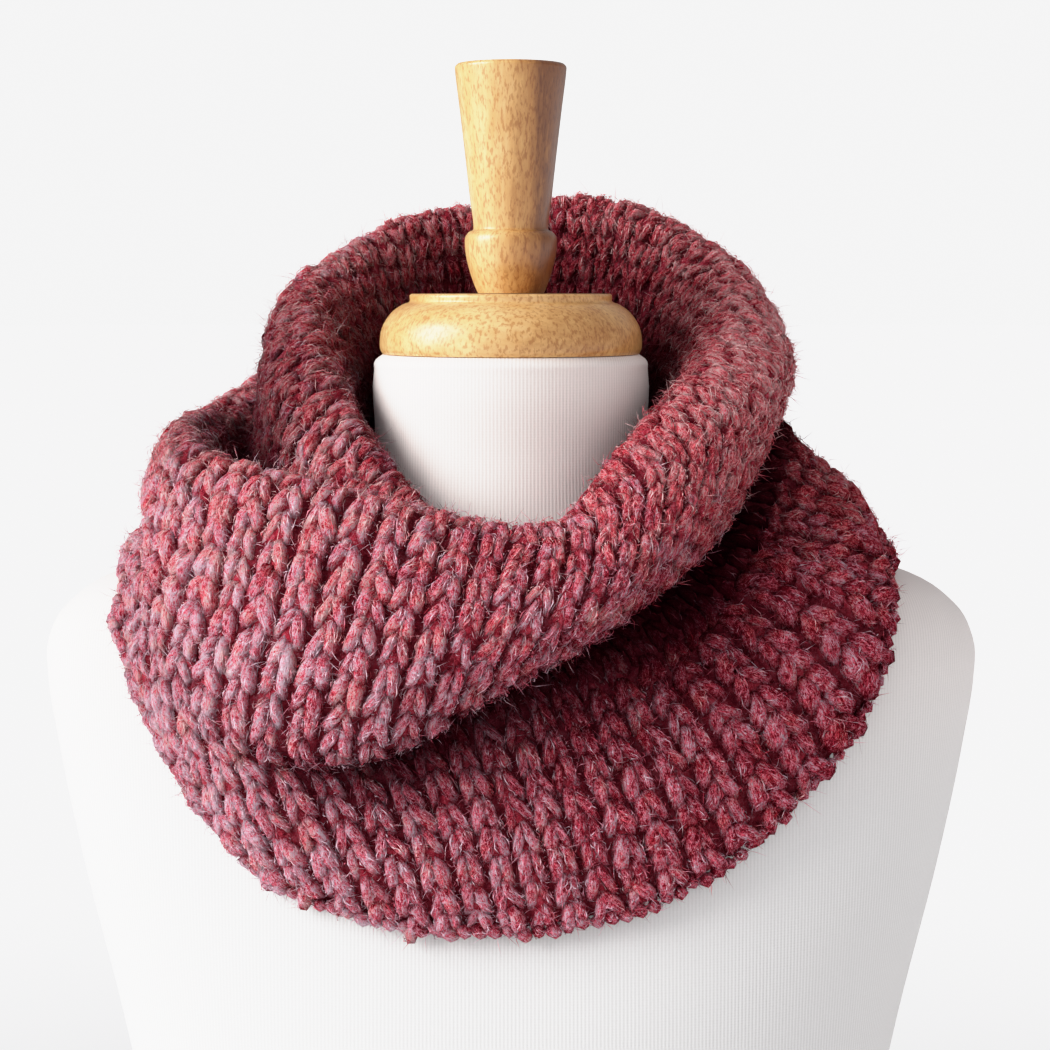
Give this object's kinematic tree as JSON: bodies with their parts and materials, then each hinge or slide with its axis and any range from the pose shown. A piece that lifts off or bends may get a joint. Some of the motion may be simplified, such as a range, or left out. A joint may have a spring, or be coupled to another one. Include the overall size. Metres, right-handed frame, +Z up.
{
  "type": "knitted infinity scarf on a dress form",
  "caption": "Chunky ribbed knit infinity scarf slouched once round the neck of a limbless dress form with a turned wooden neck cap and handle.",
  "frame": {"origin": "on the flat foot of the form, straight under the middle of the neck", "axes": "+Z up along the neck, the form faces -Y, +X is the viewer's right"},
  "size_m": [0.3982, 0.2569, 0.8214],
  "materials": {
    "knit": "thick fuzzy heathered yarn, berry red with plum and pale pink flecks",
    "jersey": "fine off-white knitted jersey stretched smooth",
    "turned_wood": "pale turned hardwood, satin varnish"
  },
  "bodies": {
    "root": {"cowl": "knit", "torso": "jersey", "neck_cap": "turned_wood", "finial": "turned_wood"}
  },
  "joints": []
}
